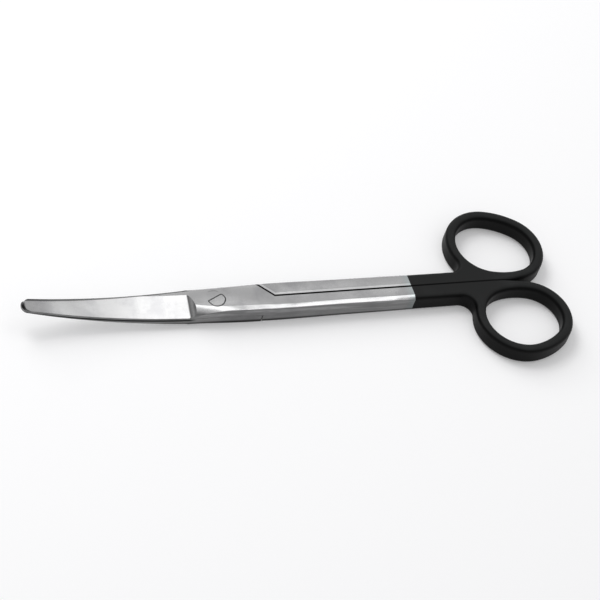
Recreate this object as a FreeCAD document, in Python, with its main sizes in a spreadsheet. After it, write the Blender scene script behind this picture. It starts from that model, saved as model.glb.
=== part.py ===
import FreeCAD, Part
import math
import os

import Sketcher
from FreeCAD import Placement, Rotation, Vector

# Dissecting scissors, curved on the flat, with black finger rings. Millimetres.
# The origin is on the pivot axis at the underside. The tips point to -X, the rings to +X,
# and both blades curve up, to +Z.
# The two halves are one forging, used twice: the rear half is the front half turned over about X.
# Each half is therefore modelled the same way up, with its lap on top, its shank and ring on -Y
# and its cutting edge on -Y, and the rear one is turned over at the end. Only the blades differ:
# turned over, the rear blade has to bend the other way to lie along the front one.

SIZES = {
    # lap joint and shoulders
    "full_thickness": 5.8,
    "lap_clearance": 0.04,
    "lap_half_width": 4.95,
    "lap_end_reach": 17.6,
    "shoulder_edge_reach": 13.0,
    "shoulder_clearance": 0.3,
    "parting_clearance": 0.34,
    "ring_clearance": 0.08,
    "ground_off_top": 0.02,
    # crowned outer side of the joint and shank: at the heel, between heel and pivot, at the pivot,
    # at the lap's end and at the coat
    "heel_crown_width": 3.95,
    "heel_crown_radius": 4.0,
    "mid_reach": 4.5,
    "mid_crown_width": 2.7,
    "mid_crown_radius": 3.4,
    "pivot_crown_width": 2.35,
    "pivot_crown_radius": 5.5,
    "lap_crown_width": 2.1,
    "lap_crown_radius": 7.0,
    "shank_crown_width": 1.7,
    "shank_crown_radius": 2.0,
    "crown_edge_rounding": 0.45,
    "lap_foot_rounding": 0.7,
    "shank_foot_rounding": 1.2,
    # blades
    "blade_start": 9.5,
    "blade_reach": 60.65,
    "front_tip_setback": 0.75,
    "blade_curve_radius": 220.0,
    "blade_back_radius": 222.0,
    "blade_start_half_width": 4.3,
    "front_back_rounding": 0.6,
    "rear_back_rounding": 1.2,
    "tip_radius": 1.95,
    "tip_back_thickness": 1.4,
    "cutting_edge_thickness": 0.3,
    "bevel_slope_start": 0.388,
    "bevel_slope_tip": 0.186,
    "grinding_wheel_radius": 2.0,
    # shanks and rings
    "shank_end_half_width": 4.73,
    "shank_guide_reach": 72.0,
    "crotch_radius": 3.5,
    "run_out_rise": 11.5,
    "ring_heel_reach": 92.0,
    "ring_heel_side": 14.2,
    "ring_heel_radius": 12.0,
    "ring_toe_advance": 4.5,
    "ring_toe_shift": 1.05,
    "ring_toe_radius": 11.05,
    "ring_side_radius": 21.3,
    "ring_band": 3.2,
    "ring_rounding": 1.3,
    "hole_rounding": 1.5,
    # black coat on the handles
    "coat_start": 61.15,
    "coat_thickness": 0.15,
    # pivot screw
    "thread_radius": 2.15,
    "thread_clearance": 0.01,
    "journal_radius": 2.4,
    "journal_clearance": 0.04,
    "screw_head_radius": 3.4,
    "screw_head_height": 1.2,
    "screw_head_clearance": 0.08,
    "screw_recess": 0.1,
    "slot_width": 0.8,
    "slot_depth": 0.6,
}

START, END, CENTRE = 1, 2, 3        # a sketch's numbers for the points of a line or an arc
MATCH = 1e-4                        # lengths this close count as the same
BEVEL_STATIONS = (0.0, 0.25, 0.5, 0.75, 1.02)       # shares of the blade, the last just past the tip
SHANK_STATIONS = (1 / 3, 2 / 3, 1.0)                # shares of the way from the lap's end to the coat
HEEL_SHARE = 0.8                    # of the blade's rounding, on the lap, so that the blade starts inside it


class Dim:
    """A length taken from the sheet, or worked out from such lengths, with its expression."""

    def __init__(self, value, text):
        self.value = value
        self.text = text

    def combine(self, other, sign, work):
        other = other if isinstance(other, Dim) else Dim(float(other), repr(float(other)))
        return Dim(work(self.value, other.value), f"({self.text} {sign} {other.text})")

    def __add__(self, other):
        return self.combine(other, "+", lambda a, b: a + b)

    def __sub__(self, other):
        return self.combine(other, "-", lambda a, b: a - b)

    def __mul__(self, other):
        return self.combine(other, "*", lambda a, b: a * b)

    def __truediv__(self, other):
        return self.combine(other, "/", lambda a, b: a / b)

    def __neg__(self):
        return Dim(-self.value, f"(-{self.text})")

    def root(self):
        return Dim(math.sqrt(self.value), f"sqrt({self.text})")


ZERO = Dim(0.0, "0")


def fill_sheet(doc):
    sheet = doc.addObject("Spreadsheet::Sheet", "Sizes")
    for row, (alias, number) in enumerate(SIZES.items(), start=1):
        sheet.set(f"A{row}", alias.replace("_", " "))
        sheet.set(f"B{row}", str(number))
        sheet.setAlias(f"B{row}", alias)
    doc.recompute()
    return {alias: Dim(number, f"Sizes.{alias}") for alias, number in SIZES.items()}


# Sketching

def new_sketch(body, name, role, offset=ZERO):
    sketch = body.newObject("Sketcher::SketchObject", name)
    base = next(item for item in body.Origin.OriginFeatures if item.Role == role)
    sketch.AttachmentSupport = [(base, "")]
    sketch.MapMode = "FlatFace"
    sketch.AttachmentOffset = Placement(Vector(0, 0, offset.value), Rotation())
    sketch.setExpression("AttachmentOffset.Base.z", offset.text)
    return sketch


def bind(sketch, kind, where, dim):
    index = sketch.addConstraint(Sketcher.Constraint(kind, *where, dim.value))
    sketch.setExpression(f"Constraints[{index}]", dim.text)


def from_origin(sketch, kind, piece, point, dim):
    bind(sketch, kind, (-1, START, piece, point), dim)


def fix_point(sketch, piece, point, x, y):
    from_origin(sketch, "DistanceX", piece, point, x)
    from_origin(sketch, "DistanceY", piece, point, y)


def join(sketch, kind, one, one_point, other, other_point):
    sketch.addConstraint(Sketcher.Constraint(kind, one, one_point, other, other_point))


def add_line(sketch, first, last):
    """A line between two points, each a pair of sheet lengths or of plain numbers."""
    points = [Vector(*(item.value if isinstance(item, Dim) else item for item in point), 0)
              for point in (first, last)]
    return sketch.addGeometry(Part.LineSegment(*points), False)


def add_polygon(sketch, corners):
    """A closed outline of straight lines, every corner held by two sizes."""
    lines = [add_line(sketch, corner, following)
             for corner, following in zip(corners, corners[1:] + corners[:1])]
    for line, following in zip(lines, lines[1:] + lines[:1]):
        join(sketch, "Coincident", line, END, following, START)
    for line, (x, y) in zip(lines, corners):
        fix_point(sketch, line, START, x, y)


def add_arc(sketch, centre, radius, first_angle, last_angle):
    """An anticlockwise arc, angles in radians."""
    circle = Part.Circle(Vector(centre[0], centre[1], 0), Vector(0, 0, 1), radius)
    return sketch.addGeometry(Part.ArcOfCircle(circle, first_angle, last_angle), False)


# Features

def pad(body, sketch, length):
    feature = body.newObject("PartDesign::Pad", sketch.Name + "Pad")
    feature.Profile = sketch
    feature.Length = length.value
    feature.setExpression("Length", length.text)
    sketch.Visibility = False
    return feature


def pocket(body, sketch, depth=None, upwards=False):
    """Cuts down from the sketch, or up; all the way if no depth is given."""
    feature = body.newObject("PartDesign::Pocket", sketch.Name + "Pocket")
    feature.Profile = sketch
    feature.Reversed = upwards
    if depth is None:
        feature.Type = "ThroughAll"
    else:
        feature.Length = depth.value
        feature.setExpression("Length", depth.text)
    before = body.Shape.Volume
    body.Document.recompute()
    if not body.Shape.Volume < before:
        raise RuntimeError(f"{feature.Name} cut nothing")
    return feature


def fillet(body, base, wanted, radius):
    """Rounds the edges of the last feature that the test picks."""
    body.Document.recompute()
    names = [f"Edge{index}" for index, edge in enumerate(base.Shape.Edges, start=1) if wanted(edge)]
    if not names:
        raise RuntimeError(f"no edge to round on {base.Name}")
    feature = body.newObject("PartDesign::Fillet", base.Name + "Fillet")
    feature.Base = (base, names)
    feature.Radius = radius.value
    feature.setExpression("Radius", radius.text)
    body.Document.recompute()
    return feature


def lies_at_height(edge, heights):
    box = edge.BoundBox
    return box.ZLength < MATCH and any(abs(box.ZMin - height) < MATCH for height in heights)


# Handle: shank and finger ring

def ring_centres(size):
    heel_x, heel_y = size["ring_heel_reach"], -size["ring_heel_side"]
    return {
        "heel": (heel_x, heel_y),
        "toe": (heel_x + size["ring_toe_advance"], heel_y + size["ring_toe_shift"]),
    }


def ring_circles(size, widen):
    """Centre and radius of the ring's four arcs, widened or narrowed from the band's middle line."""
    heel, toe = (Vector(x.value, y.value, 0) for x, y in ring_centres(size).values())
    heel_radius = size["ring_heel_radius"].value
    toe_radius = size["ring_toe_radius"].value
    side_radius = size["ring_side_radius"].value
    along = (toe - heel).normalize()
    across = Vector(-along.y, along.x, 0)
    spacing = heel.distanceToPoint(toe)
    to_heel = side_radius - heel_radius
    to_toe = side_radius - toe_radius
    foot = (to_heel ** 2 - to_toe ** 2 + spacing ** 2) / (2 * spacing)
    height = math.sqrt(to_heel ** 2 - foot ** 2)
    near = heel + along * foot - across * height
    far = heel + along * foot + across * height
    return {
        "heel": (heel, heel_radius + widen),
        "far": (far, side_radius + widen),
        "toe": (toe, toe_radius + widen),
        "near": (near, side_radius + widen),
    }


def direction(start, end):
    return math.atan2(end.y - start.y, end.x - start.x)


def hold_ring_arcs(sketch, size, arcs, widen):
    """Ties the four arcs to the sheet. The side arcs follow from their radius and tangency."""
    for name, (x, y) in ring_centres(size).items():
        fix_point(sketch, arcs[name], CENTRE, x, y)
        bind(sketch, "Radius", (arcs[name],), size[f"ring_{name}_radius"] + widen)
    for name in ("far", "near"):
        bind(sketch, "Radius", (arcs[name],), size["ring_side_radius"] + widen)


def ring_joints(circles):
    """Angles at which the arcs meet: each pair touches on the line through both centres."""
    full_turn = 2 * math.pi
    near, far = circles["near"][0], circles["far"][0]
    heel, toe = circles["heel"][0], circles["toe"][0]
    return {
        "near_heel": direction(near, heel) % full_turn,
        "near_toe": direction(near, toe) % full_turn,
        "far_heel": direction(far, heel) % full_turn,
        "far_toe": direction(far, toe) % full_turn,
    }


def add_ring_hole(sketch, size, widen):
    """The finger hole: heel, far side, toe and near side arcs, anticlockwise."""
    circles = ring_circles(size, widen.value)
    joint = ring_joints(circles)
    spans = {
        "heel": (joint["near_heel"], joint["far_heel"]),
        "far": (joint["far_heel"], joint["far_toe"]),
        "toe": (joint["far_toe"] - 2 * math.pi, joint["near_toe"]),
        "near": (joint["near_toe"], joint["near_heel"]),
    }
    arcs = {}
    for name, (first, last) in spans.items():
        centre, radius = circles[name]
        arcs[name] = add_arc(sketch, centre, radius, first, last)
    order = ["heel", "far", "toe", "near"]
    for name, following in zip(order, order[1:] + order[:1]):
        join(sketch, "Tangent", arcs[name], END, arcs[following], START)
    hold_ring_arcs(sketch, size, arcs, widen)


def add_handle_outline(sketch, size, inset):
    """Shank and ring seen from above: end line, outer edge, crotch arc, ring, and a run-out line.

    The run-out line leaves the ring past the parting plane, so that the ring's rounded edge fades
    out along the shank's flat inner side once the parting plane is cut.
    """
    widen = size["ring_band"] / 2 - inset
    circles = ring_circles(size, widen.value)
    joint = ring_joints(circles)
    heel, heel_radius = circles["heel"]
    near, near_radius = circles["near"]
    end_x = size["lap_end_reach"]
    start_y = inset - size["lap_half_width"]
    guide_y = inset - size["shank_end_half_width"]
    crotch_radius = size["crotch_radius"] + inset

    # crotch arc: touches the shank's outer edge and, from outside, the ring's heel
    run = size["shank_guide_reach"].value - end_x.value
    slope = math.atan2(guide_y.value - start_y.value, run)
    normal = Vector(-math.sin(slope), math.cos(slope), 0)
    edge_start = Vector(end_x.value, start_y.value, 0)
    drop = (heel - edge_start).dot(normal) + crotch_radius.value
    reach = math.sqrt((heel_radius + crotch_radius.value) ** 2 - drop ** 2)
    along = Vector(math.cos(slope), math.sin(slope), 0)
    crotch = heel - normal * drop - along * reach
    edge_end = crotch + normal * crotch_radius.value

    # run-out line: from a point over the shank's end, touching the ring's near side
    top = Vector(end_x.value, size["run_out_rise"].value, 0)
    distance = top.distanceToPoint(near)
    touch_angle = direction(near, top) - math.acos(near_radius / distance)
    touch = near + Vector(math.cos(touch_angle), math.sin(touch_angle), 0) * near_radius

    end_line = add_line(sketch, (top.x, top.y), (edge_start.x, edge_start.y))
    edge_line = add_line(sketch, (edge_start.x, edge_start.y), (edge_end.x, edge_end.y))
    crotch_arc = add_arc(sketch, crotch, crotch_radius.value, direction(crotch, heel), slope + math.pi / 2)
    spans = {
        "heel": (direction(heel, crotch) % (2 * math.pi), joint["far_heel"]),
        "far": (joint["far_heel"], joint["far_toe"]),
        "toe": (joint["far_toe"] - 2 * math.pi, joint["near_toe"]),
        "near": (joint["near_toe"], touch_angle),
    }
    arcs = {}
    for name, (first, last) in spans.items():
        centre, radius = circles[name]
        arcs[name] = add_arc(sketch, centre, radius, first, last)
    run_out = add_line(sketch, (touch.x, touch.y), (top.x, top.y))

    join(sketch, "Coincident", end_line, END, edge_line, START)
    join(sketch, "Tangent", edge_line, END, crotch_arc, END)
    join(sketch, "Tangent", crotch_arc, START, arcs["heel"], START)
    for name, following in (("heel", "far"), ("far", "toe"), ("toe", "near")):
        join(sketch, "Tangent", arcs[name], END, arcs[following], START)
    sketch.addConstraint(Sketcher.Constraint("Tangent", arcs["near"], arcs["heel"]))
    join(sketch, "Tangent", arcs["near"], END, run_out, START)
    join(sketch, "Coincident", run_out, END, end_line, START)
    hold_ring_arcs(sketch, size, arcs, widen)
    bind(sketch, "Radius", (crotch_arc,), crotch_radius)
    fix_point(sketch, end_line, START, end_x, size["run_out_rise"])
    fix_point(sketch, end_line, END, end_x, start_y)
    guide = add_line(sketch, (size["shank_guide_reach"], guide_y), (size["shank_guide_reach"], ZERO))
    sketch.toggleConstruction(guide)
    fix_point(sketch, guide, START, size["shank_guide_reach"], guide_y)
    fix_point(sketch, guide, END, size["shank_guide_reach"], ZERO)
    sketch.addConstraint(Sketcher.Constraint("PointOnObject", guide, START, edge_line))


def parting_y(size, reach):
    """The shank's inner side: the gap between the shanks narrows from the lap's end to the rings."""
    narrowing = (size["parting_clearance"] - size["ring_clearance"]) / 2
    share = (reach - size["lap_end_reach"]) / (size["ring_heel_reach"] - size["lap_end_reach"])
    return narrowing * share - size["parting_clearance"] / 2


def make_handle(doc, size, name, inset):
    """Shank and ring as one forging; the steel inside the coat is the same shape, inset."""
    body = doc.addObject("PartDesign::Body", name)
    bottom = inset
    top = size["full_thickness"] - inset

    outline = new_sketch(body, name + "Outline", "XY_Plane", bottom)
    add_handle_outline(outline, size, inset)
    blank = pad(body, outline, top - bottom)
    faces = (bottom.value, top.value)
    end_x = size["lap_end_reach"].value

    def on_outline(edge):
        return lies_at_height(edge, faces) and edge.BoundBox.XMax > end_x + MATCH
    fillet(body, blank, on_outline, size["ring_rounding"] - inset)

    hole = new_sketch(body, name + "Hole", "XY_Plane", top)
    widen = -(size["ring_band"] / 2) + inset
    add_ring_hole(hole, size, widen)
    holed = pocket(body, hole)
    hole_radii = [radius for _, radius in ring_circles(size, widen.value).values()]

    def on_hole(edge):
        if not lies_at_height(edge, faces) or not hasattr(edge.Curve, "Radius"):
            return False
        return any(abs(edge.Curve.Radius - radius) < MATCH for radius in hole_radii)
    fillet(body, holed, on_hole, size["hole_rounding"] - inset)

    parting = new_sketch(body, name + "Parting", "XY_Plane", top)
    past_x = size["ring_heel_reach"] * 2
    past_y = size["run_out_rise"] * 2
    before_x, ring_x = size["lap_end_reach"] / 2, size["ring_heel_reach"]
    ring_y = parting_y(size, ring_x) - inset
    add_polygon(parting, [
        (before_x, parting_y(size, before_x) - inset),
        (ring_x, ring_y),
        (past_x, ring_y),
        (past_x, past_y),
        (before_x, past_y),
    ])
    pocket(body, parting)
    return body


# Lap and shank: the joint's envelope runs on into the shank, and is cut down to one half

def add_lap_section(sketch, size, shape):
    """The joint across, before its top is ground flat.

    Its outer side is crowned: a wide flat arc, then a tight one into the upright wall.
    """
    thickness = size["full_thickness"] + size["ground_off_top"]
    tight = size["crown_edge_rounding"]
    w, t, e = shape["half_width"].value, thickness.value, tight.value
    width, radius = shape["crown_width"].value, shape["crown_radius"].value
    foot, far = shape["foot"].value, shape["far"].value
    drop = math.sqrt((radius - e) ** 2 - (width - e) ** 2)
    crown_y, crown_z = -w + width, t - radius
    meet = math.atan2(drop, e - width)
    bottom = add_line(sketch, (-w + foot, 0.0), (w, 0.0))
    inner = add_line(sketch, (w, 0.0), (w, t - far))
    corner = add_arc(sketch, (w - far, t - far), far, 0.0, math.pi / 2)
    top = add_line(sketch, (w - far, t), (crown_y, t))
    crown = add_arc(sketch, (crown_y, crown_z), radius, math.pi / 2, meet)
    edge = add_arc(sketch, (-w + e, crown_z + drop), e, meet, math.pi)
    outer = add_line(sketch, (-w, crown_z + drop), (-w, foot))
    lower = add_arc(sketch, (-w + foot, foot), foot, math.pi, 3 * math.pi / 2)
    join(sketch, "Coincident", bottom, END, inner, START)
    for one, one_point, other, other_point in (
            (inner, END, corner, START), (corner, END, top, START), (top, END, crown, START),
            (crown, END, edge, START), (edge, END, outer, START), (outer, END, lower, START),
            (lower, END, bottom, START)):
        join(sketch, "Tangent", one, one_point, other, other_point)
    for line, kind in ((outer, "Vertical"), (inner, "Vertical"), (top, "Horizontal"), (bottom, "Horizontal")):
        sketch.addConstraint(Sketcher.Constraint(kind, line))
    fix_point(sketch, inner, START, shape["half_width"], ZERO)
    from_origin(sketch, "DistanceY", top, START, thickness)
    from_origin(sketch, "DistanceX", outer, START, -shape["half_width"])
    from_origin(sketch, "DistanceX", crown, CENTRE, shape["crown_width"] - shape["half_width"])
    for arc, dim in ((corner, shape["far"]), (crown, shape["crown_radius"]), (edge, tight),
                     (lower, shape["foot"])):
        bind(sketch, "Radius", (arc,), dim)


def lap_stations(size, back_rounding):
    """Places along the joint and the shank, each with the shape of its section."""
    start, end = -size["blade_start"], size["lap_end_reach"]
    start_width, end_width = size["blade_start_half_width"], size["lap_half_width"]
    foot, shank_foot = size["lap_foot_rounding"], size["shank_foot_rounding"]

    def shape(half_width, crown, foot, far):
        return {
            "half_width": half_width,
            "crown_width": size[crown + "_crown_width"],
            "crown_radius": size[crown + "_crown_radius"],
            "foot": foot,
            "far": far,
        }

    def joint_width(place):
        return start_width + (end_width - start_width) * (place - start) / (end - start)

    mid = -size["mid_reach"]
    stations = [
        (start, shape(start_width, "heel", foot, back_rounding * HEEL_SHARE)),
        (mid, shape(joint_width(mid), "mid", foot, (back_rounding + foot) / 2)),
        (ZERO, shape(joint_width(ZERO), "pivot", foot, foot)),
        (end, shape(end_width, "lap", foot, foot)),
    ]
    slope = (size["shank_end_half_width"] - end_width) / (size["shank_guide_reach"] - end)
    length = size["coat_start"] - end
    lap_shape = stations[-1][1]
    coat_shape = shape(end_width + slope * length, "shank", shank_foot, shank_foot)
    for share in SHANK_STATIONS:
        between = {name: lap_shape[name] + (coat_shape[name] - lap_shape[name]) * share for name in lap_shape}
        stations.append((end + length * share, between))
    return stations


def shoulder_cut(size, side, past_x, outside):
    """Corners of the cut along the shoulder, side 1 above and -1 below, then along the parting side."""
    end = size["lap_end_reach"]
    lean = (end - size["shoulder_edge_reach"]) / size["lap_half_width"]
    line_x = end - size["shoulder_clearance"] / 2 * side
    inner_y = parting_y(size, end)
    return [
        (line_x - lean * outside, outside * side),
        (line_x - lean * inner_y * side, inner_y),
        (past_x, parting_y(size, past_x)),
    ]


def make_lap(doc, size, name, back_rounding):
    body = doc.addObject("PartDesign::Body", name)
    start = -size["blade_start"]
    sections = []
    for index, (place, shape) in enumerate(lap_stations(size, back_rounding), start=1):
        section = new_sketch(body, f"{name}Section{index}", "YZ_Plane", place)
        add_lap_section(section, size, shape)
        sections.append(section)
    envelope = body.newObject("PartDesign::AdditiveLoft", name + "Envelope")
    envelope.Profile = sections[0]
    envelope.Sections = sections[1:]
    doc.recompute()

    # the shoulder runs slantwise from the joint's edge to its axis
    thickness = size["full_thickness"]
    outside = size["lap_half_width"] * 2
    past_end, past_start = size["coat_start"] * 2, start * 2

    ground = new_sketch(body, name + "GroundTop", "XY_Plane", thickness)
    add_polygon(ground, [
        (past_start, -outside),
        (past_end, -outside),
        (past_end, outside),
        (past_start, outside),
    ])
    pocket(body, ground, upwards=True)

    upper = new_sketch(body, name + "UpperShoulder", "XY_Plane", thickness)
    add_polygon(upper, shoulder_cut(size, 1, past_end, outside) + [(past_end, outside)])
    pocket(body, upper)

    lower = new_sketch(body, name + "LowerShoulder", "XY_Plane")
    around = [(past_end, outside), (past_start, outside), (past_start, -outside)]
    add_polygon(lower, shoulder_cut(size, -1, past_end, outside) + around)
    pocket(body, lower, thickness / 2 + size["lap_clearance"] / 2, upwards=True)
    return body


# Blade

def curve_rise(size, reach):
    """How far the parting surface has curved away at this distance from the pivot."""
    radius = size["blade_curve_radius"]
    run = reach - size["blade_start"]
    return radius - (radius * radius - run * run).root()


def make_blade(doc, size, name, bend, tip, back_rounding):
    """A curved slab seen from the side, cut to the blade's outline seen from above."""
    body = doc.addObject("PartDesign::Body", name)
    start = size["blade_start"]
    thickness = size["full_thickness"]
    face = thickness / 2 + size["lap_clearance"] / 2
    width = size["blade_start_half_width"] * 2

    profile = new_sketch(body, name + "Profile", "XZ_Plane", -width)
    radius = size["blade_curve_radius"].value
    sweep = math.asin((tip.value - start.value) / radius)
    root = Vector(-start.value, face.value, 0)
    if bend > 0:
        centre = root + Vector(0, radius, 0)
        inner = add_arc(profile, centre, radius, 1.5 * math.pi - sweep, 1.5 * math.pi)
        inner_root, inner_tip = END, START
    else:
        centre = root - Vector(0, radius, 0)
        inner = add_arc(profile, centre, radius, 0.5 * math.pi, 0.5 * math.pi + sweep)
        inner_root, inner_tip = START, END
    rise = bend * radius * (1 - math.cos(sweep))
    low = Vector(-tip.value, face.value + rise, 0)
    high = Vector(-tip.value, face.value + rise + size["tip_back_thickness"].value, 0)
    shoulder = Vector(-start.value, thickness.value, 0)
    back_radius = size["blade_back_radius"].value
    chord = shoulder - high
    middle = (shoulder + high) * 0.5
    away = Vector(-chord.y, chord.x, 0).normalize() * bend
    back_centre = middle + away * math.sqrt(back_radius ** 2 - chord.Length ** 2 / 4)
    first, last = sorted((direction(back_centre, high) % (2 * math.pi),
                          direction(back_centre, shoulder) % (2 * math.pi)))
    back = add_arc(profile, back_centre, back_radius, first, last)
    end_line = add_line(profile, (low.x, low.y), (high.x, high.y))
    root_line = add_line(profile, (shoulder.x, shoulder.y), (root.x, root.y))
    join(profile, "Coincident", inner, inner_tip, end_line, START)
    join(profile, "Coincident", end_line, END, back, inner_tip)
    join(profile, "Coincident", back, inner_root, root_line, START)
    join(profile, "Coincident", root_line, END, inner, inner_root)
    fix_point(profile, root_line, START, -start, thickness)
    fix_point(profile, root_line, END, -start, face)
    from_origin(profile, "DistanceX", inner, CENTRE, -start)
    bind(profile, "Radius", (inner,), size["blade_curve_radius"])
    bind(profile, "Radius", (back,), size["blade_back_radius"])
    from_origin(profile, "DistanceX", end_line, START, -tip)
    profile.addConstraint(Sketcher.Constraint("Vertical", end_line))
    bind(profile, "DistanceY", (end_line, START, end_line, END), size["tip_back_thickness"])
    pad(body, profile, width * 2)

    outline = new_sketch(body, name + "Outline", "XY_Plane", thickness * 4)
    add_blade_outline(outline, size, tip)
    frame_x = tip * 2
    add_polygon(outline, [
        (-frame_x, -width * 2),
        (ZERO, -width * 2),
        (ZERO, width * 2),
        (-frame_x, width * 2),
    ])
    doc.recompute()
    cut = pocket(body, outline)
    back_face = next(face for face in cut.Shape.Faces
                     if hasattr(face.Surface, "Radius") and abs(face.Surface.Radius - back_radius) < MATCH)

    def on_back(edge):
        past_root = edge.BoundBox.XMin < -start.value - MATCH
        return past_root and any(edge.isSame(other) for other in back_face.Edges)
    fillet(body, cut, on_back, back_rounding)
    return body


def add_blade_outline(sketch, size, reach):
    """Straight tapering edges that run into a round tip."""
    half_width = size["blade_start_half_width"]
    radius = size["tip_radius"]
    centre = Vector(-(reach - radius).value, 0, 0)
    root = Vector(-size["blade_start"].value, half_width.value, 0)
    distance = root.distanceToPoint(centre)
    touch = direction(centre, root) + math.acos(radius.value / distance)
    touch_x = centre.x + radius.value * math.cos(touch)
    touch_y = radius.value * math.sin(touch)
    near = add_line(sketch, (touch_x, -touch_y), (root.x, -root.y))
    across = add_line(sketch, (root.x, -root.y), (root.x, root.y))
    far = add_line(sketch, (root.x, root.y), (touch_x, touch_y))
    tip = add_arc(sketch, centre, radius.value, touch, 2 * math.pi - touch)
    join(sketch, "Coincident", near, END, across, START)
    join(sketch, "Coincident", across, END, far, START)
    join(sketch, "Tangent", far, END, tip, START)
    join(sketch, "Tangent", tip, END, near, START)
    fix_point(sketch, across, START, -size["blade_start"], -half_width)
    fix_point(sketch, across, END, -size["blade_start"], half_width)
    fix_point(sketch, tip, CENTRE, radius - reach, ZERO)
    bind(sketch, "Radius", (tip,), radius)


def make_bevel(doc, size, name, bend):
    """What grinding takes off above the bevel, from the shoulder to past the tip."""
    body = doc.addObject("PartDesign::Body", name)
    start, tip = size["blade_start"], size["blade_reach"]
    face = size["full_thickness"] / 2 + size["lap_clearance"] / 2
    edge = face + size["cutting_edge_thickness"]
    reach_y = size["blade_start_half_width"] + size["grinding_wheel_radius"]
    above = size["full_thickness"] * 3
    span = tip - start
    sections = []
    first_slope, first_width = size["bevel_slope_start"], size["blade_start_half_width"]
    for index, share in enumerate(BEVEL_STATIONS, start=1):
        place = start + span * share
        slope = first_slope + (size["bevel_slope_tip"] - first_slope) * share
        half_width = first_width + (size["tip_radius"] - first_width) * share
        level = edge + curve_rise(size, place) * bend
        low = level + slope * (half_width - reach_y)
        high = level + slope * (half_width + reach_y)
        section = new_sketch(body, f"{name}Section{index}", "YZ_Plane", -place)
        add_polygon(section, [(-reach_y, low), (reach_y, high), (reach_y, above), (-reach_y, above)])
        sections.append(section)
    loft = body.newObject("PartDesign::AdditiveLoft", name + "Loft")
    loft.Profile = sections[0]
    loft.Sections = sections[1:]
    doc.recompute()
    return body


def make_wheel(doc, size, name):
    """The grinding wheel's rim, which leaves a hollow end to the bevel at the shoulder."""
    wheel = doc.addObject("Part::Cylinder", name)
    slope = math.atan(size["bevel_slope_start"].value)
    radius = size["grinding_wheel_radius"]
    length = size["blade_start_half_width"] * 4
    edge = size["full_thickness"] / 2 + size["lap_clearance"] / 2 + size["cutting_edge_thickness"]
    along = Vector(0, math.cos(slope), math.sin(slope))
    lift = Vector(0, -math.sin(slope), math.cos(slope)) * radius.value
    edge_point = Vector(-size["blade_start"].value, -size["blade_start_half_width"].value, edge.value)
    base = edge_point + lift - along * (length.value / 4)
    wheel.setExpression("Radius", radius.text)
    wheel.setExpression("Height", length.text)
    wheel.Placement = Placement(base, Rotation(Vector(0, 0, 1), along))
    return wheel


# Pivot

def make_bore(doc, name, radius, base, height):
    bore = doc.addObject("Part::Cylinder", name)
    bore.setExpression("Radius", radius.text)
    bore.setExpression("Height", height.text)
    bore.setExpression("Placement.Base.z", base.text)
    return bore


def make_screw(doc, size):
    """Thread in the front half, plain journal and flush slotted head in the rear half."""
    body = doc.addObject("PartDesign::Body", "pivot_screw")
    body.Label = "pivot_screw"
    seat = size["screw_recess"] + size["screw_head_height"]
    lap = size["full_thickness"] / 2
    profile = new_sketch(body, "ScrewProfile", "XZ_Plane")
    add_polygon(profile, [
        (ZERO, size["screw_recess"]),
        (size["screw_head_radius"], size["screw_recess"]),
        (size["screw_head_radius"], seat),
        (size["journal_radius"], seat),
        (size["journal_radius"], lap),
        (size["thread_radius"], lap),
        (size["thread_radius"], size["full_thickness"]),
        (ZERO, size["full_thickness"]),
    ])
    turned = body.newObject("PartDesign::Revolution", "ScrewTurned")
    turned.Profile = profile
    turned.ReferenceAxis = (profile, ["V_Axis"])
    turned.Angle = 360.0
    doc.recompute()
    slot = new_sketch(body, "ScrewSlot", "XY_Plane", size["screw_recess"])
    half = size["slot_width"] / 2
    past = size["screw_head_radius"] * 2
    add_polygon(slot, [(-past, -half), (past, -half), (past, half), (-past, half)])
    pocket(body, slot, size["slot_depth"], upwards=True)
    return body


# Assembly of each half

def boolean(doc, kind, name, **inputs):
    result = doc.addObject(f"Part::{kind}", name)
    for prop, value in inputs.items():
        setattr(result, prop, value)
    return result


def make_box(doc, size, name):
    """Everything past the coat's edge."""
    box = doc.addObject("Part::Box", name)
    reach = size["ring_heel_reach"] * 2
    box.setExpression("Length", reach.text)
    box.setExpression("Width", reach.text)
    box.setExpression("Height", (size["full_thickness"] * 3).text)
    box.setExpression("Placement.Base.x", size["coat_start"].text)
    box.setExpression("Placement.Base.y", (-(reach / 2)).text)
    box.setExpression("Placement.Base.z", (-size["full_thickness"]).text)
    return box


def make_half(doc, size, side, bend, tip, bores):
    """One half with its coat, modelled front way up; the rear half is turned over about X."""
    turned = Placement() if side == "front" else Placement(
        Vector(0, 0, size["full_thickness"].value), Rotation(Vector(1, 0, 0), 180))
    skin = make_handle(doc, size, side + "HandleSkin", ZERO)
    core = make_handle(doc, size, side + "HandleCore", size["coat_thickness"])
    coated = make_box(doc, size, side + "CoatedEnd")
    under = boolean(doc, "Common", side + "UnderCoat", Base=core, Tool=coated)
    shell = boolean(doc, "Common", side + "CoatSkin", Base=skin, Tool=coated)
    coating = boolean(doc, "Cut", side + "Coating", Base=shell, Tool=core)
    coating.Label = side + "_handle_coating"
    coating.Placement = turned

    back_rounding = size[side + "_back_rounding"]
    lap = make_lap(doc, size, side + "Lap", back_rounding)
    blade = make_blade(doc, size, side + "Blade", bend, tip, back_rounding)
    bevel = make_bevel(doc, size, side + "Bevel", bend)
    wheel = make_wheel(doc, size, side + "Wheel")
    forging = boolean(doc, "MultiFuse", side + "Forging", Shapes=[under, lap, blade], Refine=True)
    tools = boolean(doc, "MultiFuse", side + "Tools", Shapes=[bevel, wheel] + bores)
    half = boolean(doc, "Cut", side + "Half", Base=forging, Tool=tools)
    half.Label = side + "_half"
    half.Placement = turned
    return half, coating


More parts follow.
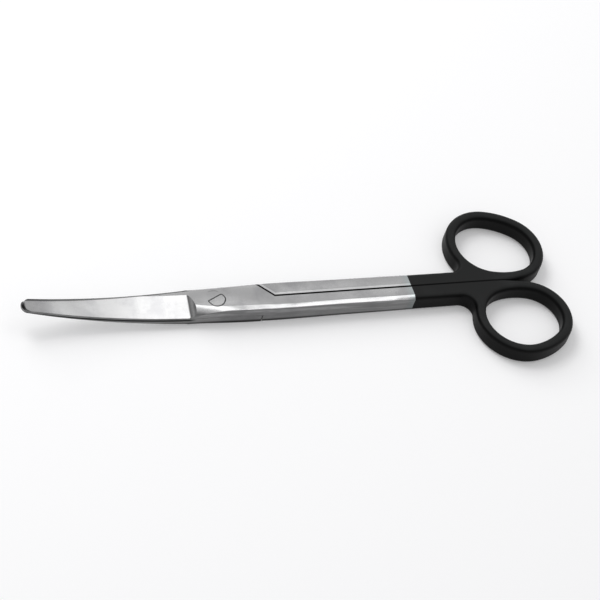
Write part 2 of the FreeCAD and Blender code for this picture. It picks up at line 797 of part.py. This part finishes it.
def main():
    doc = FreeCAD.newDocument("DissectingScissors")
    size = fill_sheet(doc)
    thickness = size["full_thickness"]
    seat = size["screw_recess"] + size["screw_head_height"]
    thread_bore = make_bore(doc, "ThreadBore", size["thread_radius"] + size["thread_clearance"],
                            -thickness, thickness * 3)
    journal_bore = make_bore(doc, "JournalBore", size["journal_radius"] + size["journal_clearance"],
                             -thickness, thickness * 3)
    # turned over, the head's recess opens at the top
    head_bore = make_bore(doc, "HeadBore", size["screw_head_radius"] + size["screw_head_clearance"],
                          thickness - seat - size["journal_clearance"], thickness)
    tip = size["blade_reach"]
    parts = list(make_half(doc, size, "front", 1, tip - size["front_tip_setback"], [thread_bore]))
    parts += make_half(doc, size, "rear", -1, tip, [journal_bore, head_bore])
    parts.append(make_screw(doc, size))
    doc.recompute()

    for item in doc.Objects:
        if "Invalid" in item.State or "Error" in item.State:
            raise RuntimeError(f"{item.Name} failed: {item.State}")
    for part in parts:
        if part.Shape.isNull() or not part.Shape.isValid() or len(part.Shape.Solids) != 1:
            raise RuntimeError(f"{part.Label} is not one sound solid")
    os.makedirs("parts", exist_ok=True)
    for part in parts:
        part.Shape.exportStep(f"parts/{part.Label}.step")
        box = part.Shape.BoundBox
        print(f"{part.Label}: {part.Shape.Volume:.1f} mm3, x {box.XMin:.2f} to {box.XMax:.2f}, "
              f"y {box.YMin:.2f} to {box.YMax:.2f}, z {box.ZMin:.2f} to {box.ZMax:.2f}")


main()
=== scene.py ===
import math

import bpy
import numpy as np
from mathutils import Matrix, Vector


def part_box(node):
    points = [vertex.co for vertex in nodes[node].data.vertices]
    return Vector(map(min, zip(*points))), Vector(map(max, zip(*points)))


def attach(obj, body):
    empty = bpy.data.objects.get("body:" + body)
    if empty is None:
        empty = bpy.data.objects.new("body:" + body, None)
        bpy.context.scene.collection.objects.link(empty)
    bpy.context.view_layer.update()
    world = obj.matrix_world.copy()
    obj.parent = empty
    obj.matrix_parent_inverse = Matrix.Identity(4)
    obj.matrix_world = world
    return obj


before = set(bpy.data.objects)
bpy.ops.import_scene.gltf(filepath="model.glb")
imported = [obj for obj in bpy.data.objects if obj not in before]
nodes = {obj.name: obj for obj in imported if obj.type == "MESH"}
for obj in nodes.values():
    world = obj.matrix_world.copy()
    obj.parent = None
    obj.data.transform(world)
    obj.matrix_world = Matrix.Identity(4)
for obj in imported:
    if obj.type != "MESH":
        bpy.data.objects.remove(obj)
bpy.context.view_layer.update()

# Dissecting scissors, lying closed on a pale ground with their tips lifted.
# The frame's origin is on the pivot axis at the underside, tips to -X, rings to +X. Metres.

scene = bpy.context.scene
mm = 0.001

# The height of the joint's flat, and the places along the piece of the coat's edge and the front tip, in mm
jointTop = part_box("pivot_screw")[1].z / mm
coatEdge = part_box("front_handle_coating")[0].x / mm
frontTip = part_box("front_half")[0].x / mm


# Helpers

nodeLayout = {"inRow": 8, "width": 220, "height": 300}      # in the node editor


def addObject(name, data):
    thing = bpy.data.objects.new(name, data)
    scene.collection.objects.link(thing)
    return thing


def makeMaterial(name):
    material = bpy.data.materials.new(name)
    material.use_nodes = True
    tree = material.node_tree
    tree.nodes.clear()
    return material, tree


# Fills an input with another node's output or with a plain value.
def feed(tree, target, value):
    if isinstance(value, bpy.types.NodeSocket):
        tree.links.new(value, target)
    else:
        target.default_value = value


# Adds a node beside the last one; settings are its own properties.
def put(tree, kind, inputs=None, **settings):
    row, column = divmod(len(tree.nodes), nodeLayout["inRow"])
    node = tree.nodes.new(kind)
    node.location = (column * nodeLayout["width"], -row * nodeLayout["height"])
    for setting, value in settings.items():
        setattr(node, setting, value)
    for label, value in (inputs or {}).items():
        feed(tree, node.inputs[label], value)
    return node


def maths(tree, operation, *terms):
    return put(tree, "ShaderNodeMath", dict(enumerate(terms)), operation=operation).outputs[0]


# The three parts of a vector, under X, Y and Z.
def axes(tree, vector):
    return put(tree, "ShaderNodeSeparateXYZ", {"Vector": vector}).outputs


# Slides softly from 0 at the span's first value to 1 at its second, which may be the smaller one.
def fade(tree, value, span):
    ends = {"Value": value, "From Min": span[0], "From Max": span[1]}
    return put(tree, "ShaderNodeMapRange", ends, interpolation_type="SMOOTHSTEP").outputs["Result"]


# 1 only where every one of the masks is.
def together(tree, *masks):
    product = masks[0]
    for mask in masks[1:]:
        product = maths(tree, "MULTIPLY", product, mask)
    return product


# 1 between two edges, each with the span over which it fades.
def band(tree, value, edges):
    return together(tree, *(fade(tree, value, span) for span in edges))


# Colours laid over the base in turn, each where its mask is 1. A Mix node's inputs 0, 6 and 7 are the
# mask and the two colours, and its output 2 is a colour.
def layers(tree, base, *tops, blend="MIX"):
    for colour, mask in tops:
        mix = put(tree, "ShaderNodeMix", {0: mask, 6: base, 7: colour}, data_type="RGBA", blend_type=blend)
        base = mix.outputs[2]
    return base


# Relief of this strength and depth in mm, over another relief where one is given.
def relief(tree, height, strength, depth, under=None):
    inputs = {"Height": height, "Strength": strength, "Distance": depth * mm}
    if under is not None:
        inputs["Normal"] = under
    return put(tree, "ShaderNodeBump", inputs).outputs["Normal"]


def placeShader(tree, inputs):
    shader = put(tree, "ShaderNodeBsdfPrincipled", inputs)
    put(tree, "ShaderNodeOutputMaterial", {"Surface": shader.outputs["BSDF"]})


# A node group, with the outputs that bring in what it is given and the inputs that take its results.
def makeGroup(name, vectors, numbers, results):
    group = bpy.data.node_groups.new(name, "ShaderNodeTree")
    for labels, way, kind in ((vectors, "INPUT", "Vector"), (numbers, "INPUT", "Float"),
                              (results, "OUTPUT", "Float")):
        for label in labels:
            group.interface.new_socket(label, in_out=way, socket_type="NodeSocket" + kind)
    return group, put(group, "NodeGroupInput").outputs, put(group, "NodeGroupOutput").inputs


def useGroup(tree, group, **values):
    return put(tree, "ShaderNodeGroup", values, node_tree=group).outputs


def grey(level):
    return (level, level, level, 1.0)


# Effects that the finishes share

effects = {
    "brushRoughness": 0.65,         # how much the finer noise counts
    "patchRoughness": 0.55,
    "patchDetail": 4.0,
    "footHeight": (1.65, 0.85),     # mm above the ground where the painted shade goes from clear to dark
    "footFacing": (0.9, 0.6),       # the same, by how far the surface faces up or down
}


# Fine lengthwise marks: noise squeezed across the piece and drawn out along it, with so many to a
# metre each way.
def brushGroup(settings):
    group, given, result = makeGroup("brushMarks", ["Place"], ["Along", "Across", "Detail"], ["Mark"])
    scale = put(group, "ShaderNodeCombineXYZ",
                {"X": given["Along"], "Y": given["Across"], "Z": given["Across"]})
    drawn = put(group, "ShaderNodeVectorMath", {0: given["Place"], 1: scale.outputs["Vector"]},
                operation="MULTIPLY")
    noise = put(group, "ShaderNodeTexNoise",
                {"Vector": drawn.outputs["Vector"], "Scale": 1.0, "Detail": given["Detail"],
                 "Roughness": settings["brushRoughness"]})
    feed(group, result["Mark"], noise.outputs["Fac"])
    return group


# Soft cloudy patches, 0 to 1, for stains, smudges and uneven finish.
def patchGroup(settings):
    group, given, result = makeGroup("softPatches", ["Place"], ["Size", "Low", "High"], ["Patch"])
    noise = put(group, "ShaderNodeTexNoise",
                {"Vector": given["Place"], "Scale": given["Size"], "Detail": settings["patchDetail"],
                 "Roughness": settings["patchRoughness"]})
    feed(group, result["Patch"], fade(group, noise.outputs["Fac"], (given["Low"], given["High"])))
    return group


# Flat is 1 where the surface faces straight up or down in the piece's own frame and 0 on its walls.
# The foot mask is 1 low on the walls, where the metal turns under; it places painted shade there.
def facingGroup(settings):
    group, given, result = makeGroup("facing", ["Place", "Facing"], ["Low", "High"], ["Flat", "FootShade"])
    level = maths(group, "ABSOLUTE", axes(group, given["Facing"])["Z"])
    low = fade(group, axes(group, given["Place"])["Z"], [height * mm for height in settings["footHeight"]])
    upright = fade(group, level, settings["footFacing"])
    feed(group, result["Flat"], fade(group, level, (given["Low"], given["High"])))
    feed(group, result["FootShade"], together(group, low, upright))
    return group


joint = {
    "lapEnd": 17.6,             # mm from the pivot, where the shoulder meets the parting line
    "shoulderEdge": 13.0,       # and where it meets the side
    "halfWidth": 4.95,
    "halfThickness": jointTop / 2,
    "bladeStart": 9.5,
    "bladeCurve": 220.0,        # radius
    "bladeHalfWidth": 4.3,
    "bladeTaper": 0.0485,       # half width lost for each mm of blade
}


# The closed joint's lines, all in mm. Its outline is a slanting shoulder and then the parting line,
# seen the same way from above and, turned over, from below. Gap is the distance from that outline,
# over 0 on the shank that starts at the shoulder and under 0 on the other half. Seam is how far a point
# lies under the surface on which the blades meet: it rises by the square of the run past the blade's
# start, over twice the radius. Back is how far a point lies inside the blade's far edge, and Along is
# its place along the piece. Upper is 1 above the middle.
def jointGroup(sizes):
    group, given, result = makeGroup("jointLines", ["Place"], [], ["Gap", "Seam", "Back", "Along", "Upper"])
    lean = (sizes["lapEnd"] - sizes["shoulderEdge"]) / sizes["halfWidth"]
    inMm = put(group, "ShaderNodeVectorMath", {0: given["Place"], "Scale": 1 / mm}, operation="SCALE")
    place = axes(group, inMm.outputs["Vector"])
    x, y, z = (place[axis] for axis in "XYZ")
    feed(group, result["Along"], x)

    upper = maths(group, "GREATER_THAN", z, sizes["halfThickness"])
    across = maths(group, "MULTIPLY", y, maths(group, "MULTIPLY_ADD", upper, 2.0, -1.0))
    leaned = maths(group, "MULTIPLY_ADD", across, lean, x)
    past = maths(group, "SUBTRACT", leaned, sizes["lapEnd"])
    square = maths(group, "DIVIDE", past, math.hypot(1, lean))
    feed(group, result["Upper"], upper)
    feed(group, result["Gap"], maths(group, "MINIMUM", square, across))

    beyond = maths(group, "SUBTRACT", -sizes["bladeStart"], x)
    edge = maths(group, "MULTIPLY_ADD", beyond, -sizes["bladeTaper"], sizes["bladeHalfWidth"])
    feed(group, result["Back"], maths(group, "SUBTRACT", edge, y))

    run = maths(group, "MAXIMUM", beyond, 0.0)
    rise = maths(group, "DIVIDE", maths(group, "MULTIPLY", run, run), 2 * sizes["bladeCurve"])
    face = maths(group, "ADD", rise, sizes["halfThickness"])
    feed(group, result["Seam"], maths(group, "SUBTRACT", face, z))
    return group


brushMarks = brushGroup(effects)
softPatches = patchGroup(effects)
facing = facingGroup(effects)
jointLines = jointGroup(joint)
print("groups made")


# What the masks go by: a point's place and the way it faces, and the joint's lines there.
def readSurface(tree, facingSpan):
    texture = put(tree, "ShaderNodeTexCoord").outputs
    surface = {"Place": texture["Object"], "Facing": texture["Normal"]}
    low, high = facingSpan
    surface.update(useGroup(tree, facing, Low=low, High=high, **surface).items())
    surface.update(useGroup(tree, jointLines, Place=surface["Place"]).items())
    return surface


# Steel of the two halves and the screw

steelFinish = {
    "flat": grey(0.69),
    "crown": grey(0.95),                # the crowns and the ground bevels are polished, and the bevels get painted shade towards the tip
    "bevel": grey(0.95),                # the bevels less so towards the tip
    "bevelTipShade": grey(0.62),
    "hollow": grey(0.15),               # painted shade where the wheel ended, dark and then lighter
    "hollowEnd": grey(0.40),
    # painted shade: the walls are darker than the flats
    "wall": grey(0.195),
    # painted light: the walls lighter lower down
    "lowerWallLight": grey(0.265),
    "streak": grey(0.29),
    # painted shade low on the walls, by the ground
    "foot": grey(0.04),
    "cutEdgeHighlight": grey(1.0),               # painted highlight along the edge of the cut
    "gap": grey(0.012),                 # painted shade in and beside the gap between the shanks
    "seamShadow": grey(0.02),                 # painted shadow: a dark line where the blades meet
    "back": grey(0.18),                 # painted shade along the front blade's back and round the tip
    "stain": (0.84, 0.84, 0.85, 1.0),
    "byCoat": (0.93, 1.0, 1.005, 1.0),
    "stains": {"Size": 140.0, "Low": 0.42, "High": 0.70},
    "brush": {"Along": 90.0, "Across": 4500.0, "Detail": 3.0},
    "streaks": {"Along": 60.0, "Across": 900.0, "Detail": 3.0},
    "waves": {"Along": 80.0, "Across": 170.0, "Detail": 0.0},
    "flatRoughness": 0.20,
    "wallRoughness": 0.28,
    "brushRoughness": 0.10,             # added on the marks
    "brushDepth": (0.06, 0.02),         # strength, and depth in mm
    "waveDepth": (0.6, 0.75),
}

# Where each tone starts and where it is full, in mm unless a note says otherwise
steelSpans = {
    "facing": (0.55, 0.95),             # from wall to flat, by how far it faces up or down
    "onBlade": (-7.0, -9.5),
    "bevelTipShade": (-16.0, -38.0),
    "lowerWallLight": (-1.5, 1.8),
    "streak": (0.46, 0.64),             # of the noise
    "polished": (-0.09, -0.17),         # how far it faces -Y, times how far up
    "hollow": (-0.07, -0.22),           # how far it faces -X
    "hollowEnd": (-0.40, -0.78),        # the same
    "cutEdgeHighlight": ((0.22, 0.30), (1.05, 0.85)),
    "besideGap": ((-0.45, -0.32), (0.28, 0.20)),
    "insideGap": (0.20, 0.15),
    "seamShadow": ((0.15, 0.40), (1.15, 0.85)),
    "seamWall": (0.5, 0.1),             # from flat to wall
    "back": (0.80, 0.55),
    "backUp": (0.15, 0.35),             # how far it faces up
    "tip": (frontTip + 0.6, frontTip),
    "byCoat": (coatEdge - 3.0, coatEdge - 0.2),
}


# Streaked walls in painted shade, painted lighter lower down and darkest at the foot, flats with polished
# crowns and bevels that get painted shade towards the tip, and the hollow in painted shade.
def steelTones(tree, finish, surface, onBlade):
    streaks = useGroup(tree, brushMarks, Place=surface["Place"], **finish["streaks"])
    walls = layers(tree, finish["wall"],
                   (finish["lowerWallLight"], fade(tree, surface["Seam"], steelSpans["lowerWallLight"])),
                   (finish["streak"], fade(tree, streaks["Mark"], steelSpans["streak"])),
                   (finish["foot"], surface["FootShade"]))
    polished = layers(tree, finish["crown"],
                      (finish["bevel"], onBlade),
                      (finish["bevelTipShade"], fade(tree, surface["Along"], steelSpans["bevelTipShade"])))
    leaning = maths(tree, "MULTIPLY", surface["Y"], surface["Z"])
    flats = layers(tree, finish["flat"], (polished, fade(tree, leaning, steelSpans["polished"])))
    hollow = layers(tree, finish["hollow"],
                    (finish["hollowEnd"], fade(tree, surface["X"], steelSpans["hollowEnd"])))
    inHollow = together(tree, fade(tree, surface["X"], steelSpans["hollow"]), onBlade)
    return layers(tree, walls, (flats, surface["Flat"]), (hollow, inHollow))


# The lines that the joint draws on the steel, all painted light and shade: a painted highlight on the edge
# of the cut, painted shade in the gap, a painted shadow along the seam between the blades on the rear one,
# and painted shade along the back of the front one. The tip is painted dark all round.
def steelLines(tree, finish, surface, onBlade, side):
    flat = surface["Flat"]
    cutEdgeHighlight = together(tree, band(tree, surface["Gap"], steelSpans["cutEdgeHighlight"]), flat)
    besideGap = together(tree, band(tree, surface["Gap"], steelSpans["besideGap"]), flat)
    nearGap = fade(tree, maths(tree, "ABSOLUTE", surface["Gap"]), steelSpans["insideGap"])
    insideGap = together(tree, nearGap, surface["Upper"])
    lines = [(finish["cutEdgeHighlight"], cutEdgeHighlight),
             (finish["gap"], maths(tree, "MAXIMUM", besideGap, insideGap))]
    if side == "rear":
        seamShadow = band(tree, surface["Seam"], steelSpans["seamShadow"])
        wall = fade(tree, flat, steelSpans["seamWall"])
        lines.append((finish["seamShadow"], together(tree, seamShadow, wall, onBlade)))
    if side == "front":
        back = fade(tree, surface["Back"], steelSpans["back"])
        upwards = fade(tree, surface["Z"], steelSpans["backUp"])
        lines.append((finish["back"], together(tree, back, upwards, onBlade)))
    lines.append((finish["back"], fade(tree, surface["Along"], steelSpans["tip"])))
    return lines


def steelMaterial(name, finish, side=None):
    material, tree = makeMaterial(name)
    surface = readSurface(tree, steelSpans["facing"])
    surface.update(axes(tree, surface["Facing"]).items())
    onBlade = fade(tree, surface["Along"], steelSpans["onBlade"])
    colour = layers(tree, steelTones(tree, finish, surface, onBlade),
                    *steelLines(tree, finish, surface, onBlade, side))
    stains = useGroup(tree, softPatches, Place=surface["Place"], **finish["stains"])
    tint = layers(tree, grey(1.0),
                  (finish["stain"], stains["Patch"]),
                  (finish["byCoat"], fade(tree, surface["Along"], steelSpans["byCoat"])))
    colour = layers(tree, colour, (tint, 1.0), blend="MULTIPLY")

    brush = useGroup(tree, brushMarks, Place=surface["Place"], **finish["brush"])["Mark"]
    even = put(tree, "ShaderNodeMapRange",
               {"Value": surface["Flat"], "To Min": finish["wallRoughness"],
                "To Max": finish["flatRoughness"]})
    rough = maths(tree, "MULTIPLY_ADD", brush, finish["brushRoughness"], even.outputs["Result"])

    # hand-ground steel isn't quite even: long shallow waves under the fine marks
    waves = useGroup(tree, brushMarks, Place=surface["Place"], **finish["waves"])["Mark"]
    swell = relief(tree, waves, *finish["waveDepth"])
    normal = relief(tree, brush, *finish["brushDepth"], under=swell)
    placeShader(tree, {"Metallic": 1.0, "Base Color": colour, "Roughness": rough, "Normal": normal})
    return material


# Black coat of the handles

coatFinish = {
    # painted light and shade: the tops lighter and the walls darker
    "top": (0.0165, 0.017, 0.017, 1.0),
    "wall": (0.0012, 0.0013, 0.0013, 1.0),
    "worn": (0.023, 0.024, 0.024, 1.0),
    # painted shade near the gap
    "gap": grey(0.001),
    "facing": (0.60, 0.95),             # from wall to top
    "nearGap": (0.36, 0.24),            # mm
    "patches": {"Size": 90.0, "Low": 0.40, "High": 0.80},
    "grain": {"Scale": 2200.0, "Detail": 3.0},
    "roughness": 0.40,
    "grainRoughness": 0.12,             # added on the grain
    "grainDepth": (0.25, 0.02),         # strength, and depth in mm
    "specular": 0.12,
}


def coatMaterial(name, finish):
    material, tree = makeMaterial(name)
    surface = readSurface(tree, finish["facing"])
    patches = useGroup(tree, softPatches, Place=surface["Place"], **finish["patches"])
    nearGap = fade(tree, maths(tree, "ABSOLUTE", surface["Gap"]), finish["nearGap"])
    # walls in painted shade, tops painted lighter, wear patches on the tops, painted shade by the gap
    colour = layers(tree, finish["wall"],
                    (finish["top"], surface["Flat"]),
                    (finish["worn"], together(tree, patches["Patch"], surface["Flat"])),
                    (finish["gap"], nearGap))
    grain = put(tree, "ShaderNodeTexNoise", {"Vector": surface["Place"], **finish["grain"]}).outputs["Fac"]
    rough = maths(tree, "MULTIPLY_ADD", grain, finish["grainRoughness"], finish["roughness"])
    normal = relief(tree, grain, *finish["grainDepth"])
    placeShader(tree, {"Base Color": colour, "Roughness": rough, "Normal": normal,
                       "Specular IOR Level": finish["specular"]})
    return material


def dress(name, material):
    for slot in nodes[name].material_slots:
        slot.material = material


coat = coatMaterial("blackCoat", coatFinish)
for side in ("front", "rear"):
    dress(f"{side}_half", steelMaterial(f"{side}Steel", steelFinish, side))
    dress(f"{side}_handle_coating", coat)
dress("pivot_screw", steelMaterial("screwSteel", steelFinish))
print("materials placed")


# The screw's end, ground off flush: its edge shows as a fine drop-shaped line on the joint, with a
# short arc beside it, both in darkened steel as painted shade

screwMark = {
    "drop": {
        "closed": True,
        "width": 0.40,      # mm
        "height": 0.045,
        "points": [(-3.2, -0.4), (-2.1, 0.15), (-1.0, 0.7), (0.2, 1.28), (1.2, 1.72), (1.75, 1.35),
                   (2.13, 0.04), (1.4, -1.4), (0.6, -2.1), (-0.4, -2.5), (-1.4, -2.5), (-2.2, -2.2),
                   (-2.75, -1.6), (-3.1, -0.95)],
    },
    "arc": {
        "closed": False,
        "width": 0.20,
        "height": 0.012,
        "points": [(-3.0, 2.35), (-2.3, 2.96), (-1.2, 3.2), (-0.14, 3.16), (0.7, 2.7), (1.34, 1.95)],
    },
    "sunk": 0.03,           # mm, its middle under the joint's flat
    "steps": 12,            # between two points
    "round": 12,            # points round the line
    "taper": 0.02,          # where the sine that narrows an open line starts, in radians
    # painted shade on the marks' steel
    "shadeTone": grey(0.09),
    "shadedTones": ("flat", "crown", "wall", "lowerWallLight", "streak"),
}


# Points along a smooth curve through the given ones: between two points, a cubic whose slope at each
# is half the way from the point before to the point after.
def smoothLine(points, steps, closed):
    given = np.array(points, float)
    if closed:
        before, first, last, after = (np.roll(given, -shift, axis=0) for shift in (-1, 0, 1, 2))
    else:
        padded = np.vstack((2 * given[0] - given[1], given, 2 * given[-1] - given[-2]))
        before, first, last, after = (padded[shift:len(padded) - 3 + shift] for shift in range(4))
    t = np.linspace(0, 1, steps, endpoint=False)[None, :, None]
    a, b, c, d = (part[:, None, :] for part in (before, first, last, after))
    line = 0.5 * (2 * b + (c - a) * t + (2 * a - 5 * b + 4 * c - d) * t ** 2
                  + (3 * b - a - 3 * c + d) * t ** 3)
    line = line.reshape(-1, 2)
    return line if closed else np.vstack((line, given[-1:]))


# A low rounded line: an ellipse carried along the curve, half its width to each side, its middle
# under the flat. An open line narrows towards both ends by the square root of a sine.
def makeLine(name, shape, settings):
    closed, rounds = shape["closed"], settings["round"]
    line = smoothLine(shape["points"], settings["steps"], closed)
    count = len(line)
    if closed:
        slope = np.roll(line, -1, axis=0) - np.roll(line, 1, axis=0)
        size = np.ones(count)
    else:
        slope = np.gradient(line, axis=0)
        size = np.sqrt(np.sin(np.linspace(settings["taper"], np.pi - settings["taper"], count)))
    slope /= np.linalg.norm(slope, axis=1, keepdims=True)
    side = np.stack((-slope[:, 1], slope[:, 0]), axis=1)
    turn = np.linspace(0, 2 * np.pi, rounds, endpoint=False)
    across = size[:, None] * shape["width"] / 2 * np.cos(turn)
    up = size[:, None] * (shape["height"] + settings["sunk"]) * np.sin(turn)
    grid = np.empty((count, rounds, 3))
    grid[..., :2] = line[:, None, :] + side[:, None, :] * across[..., None]
    grid[..., 2] = jointTop - settings["sunk"] + up

    row = np.arange(count if closed else count - 1)[:, None]
    column = np.arange(rounds)[None, :]
    nextRow, nextColumn = (row + 1) % count, (column + 1) % rounds
    quads = np.stack((row * rounds + column, nextRow * rounds + column,
                      nextRow * rounds + nextColumn, row * rounds + nextColumn), axis=-1)
    faces = quads.reshape(-1, 4).tolist()
    if not closed:
        end = (count - 1) * rounds
        faces += [list(range(rounds)), list(range(end, end + rounds))[::-1]]
    mesh = bpy.data.meshes.new(name)
    mesh.from_pydata((grid.reshape(-1, 3) * mm).tolist(), [], faces)
    mesh.polygons.foreach_set("use_smooth", np.ones(len(mesh.polygons), bool))
    mesh.update()
    return addObject(name, mesh)


# The marks take the steel darkened all over: painted shade
markShadeTones = dict.fromkeys(screwMark["shadedTones"], screwMark["shadeTone"])
markShadeSteel = steelMaterial("screwMarkShadeSteel", {**steelFinish, **markShadeTones})
for name in ("drop", "arc"):
    piece = makeLine(f"screw_mark_{name}", screwMark[name], screwMark)
    piece.data.materials.append(markShadeSteel)
    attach(piece, "front")
print("screw mark made")


# Floor

paper = {
    "side": 12.0,
    "colour": (0.80, 0.80, 0.81, 1.0),
    "seen": (0.81, 0.81, 0.815, 1.0),   # to the eye and in the metal; with the glow, just white
    "glow": 0.20,
}


# A flat square about the origin. It keeps the shadow, and glows a little to what sees it.
def makeFloor(settings):
    half = settings["side"] / 2
    mesh = bpy.data.meshes.new("floor")
    corners = [(-half, -half, 0), (half, -half, 0), (half, half, 0), (-half, half, 0)]
    mesh.from_pydata(corners, [], [(0, 1, 2, 3)])
    material, tree = makeMaterial("paperGround")
    rays = put(tree, "ShaderNodeLightPath").outputs
    seen = maths(tree, "MAXIMUM", rays["Is Camera Ray"], rays["Is Glossy Ray"])
    seen = maths(tree, "MAXIMUM", seen, rays["Is Transmission Ray"])
    colour = layers(tree, settings["colour"], (settings["seen"], seen))
    diffuse = put(tree, "ShaderNodeBsdfDiffuse", {"Color": colour})
    glow = put(tree, "ShaderNodeEmission", {"Strength": maths(tree, "MULTIPLY", seen, settings["glow"])})
    both = put(tree, "ShaderNodeAddShader", {0: diffuse.outputs["BSDF"], 1: glow.outputs["Emission"]})
    put(tree, "ShaderNodeOutputMaterial", {"Surface": both.outputs["Shader"]})
    mesh.materials.append(material)
    addObject("floor", mesh)


# Lamps and room

lamps = {
    "overheadLamp": {
        "share": 0.072,         # of the floor's brightness
        "from": (0.31, 0.17, 0.935),
        "sides": (0.75, 0.42),
        "inMetal": True,
    },
    "keyLamp": {
        "share": 0.24,
        "from": (-0.38, 0.42, 0.82),
        "sides": (0.41, 0.41),
        "inMetal": False,       # it would flash white in the flat faces from some sides
    },
    "lowLamp": {                # long soft shadow towards the viewer
        "share": 0.190,
        "from": (-0.30, 0.77, 0.56),
        "sides": (0.60, 0.60),
        "inMetal": False,
    },
}
room = {
    "lampDistance": 1.0,
    "ambient": (0.50, 0.50, 0.505, 1.0),
}


# A flat lamp that gives the floor this share of white: power = share * pi^2 * distance^2 / slant.
def makeLamp(name, settings, centre, distance):
    data = bpy.data.lights.new(name, "AREA")
    data.shape = "RECTANGLE"
    data.size, data.size_y = settings["sides"]
    way = Vector(settings["from"]).normalized()
    data.energy = settings["share"] * math.pi ** 2 * distance ** 2 / way.z
    lamp = addObject(name, data)
    lamp.visible_glossy = settings["inMetal"]
    lamp.location = Vector(centre) + way * distance
    lamp.rotation_euler = way.to_track_quat("Z", "Y").to_euler()


def makeWorld(colour):
    world = bpy.data.worlds.new("softRoom")
    world.use_nodes = True
    background = world.node_tree.nodes["Background"]
    background.inputs["Color"].default_value = colour
    background.inputs["Strength"].default_value = 1.0
    scene.world = world


# Camera

viewpoint = {
    "azimuth": -33.74,          # degrees, as the photograph was taken
    "elevation": 45.80,
    "roll": 21.58,
    "distance": 1053.91 * mm,
    "target": (27.83 * mm, 2.24 * mm, 0.0),
    "lens": 216.0,
    "sensor": 36.0,
}


# It stands back from the target by the azimuth and elevation, and is rolled about its line of sight.
def makeCamera(view):
    azimuth, elevation, roll = (math.radians(view[name]) for name in ("azimuth", "elevation", "roll"))
    back = Vector((math.sin(azimuth) * math.cos(elevation), -math.cos(azimuth) * math.cos(elevation),
                   math.sin(elevation)))
    level = Vector((math.cos(azimuth), math.sin(azimuth), 0.0))
    up = level.cross(-back)
    rightAxis = level * math.cos(roll) + up * math.sin(roll)
    upAxis = up * math.cos(roll) - level * math.sin(roll)
    data = bpy.data.cameras.new("camera")
    data.lens = view["lens"]
    data.sensor_width = view["sensor"]
    camera = addObject("camera", data)
    turn = Matrix((rightAxis, upAxis, back)).transposed().to_4x4()
    camera.matrix_world = Matrix.Translation(Vector(view["target"]) + back * view["distance"]) @ turn
    scene.camera = camera


makeFloor(paper)
for name, settings in lamps.items():
    makeLamp(name, settings, viewpoint["target"], room["lampDistance"])
makeWorld(room["ambient"])
makeCamera(viewpoint)
scene.view_settings.view_transform = "Standard"
print("studio made")
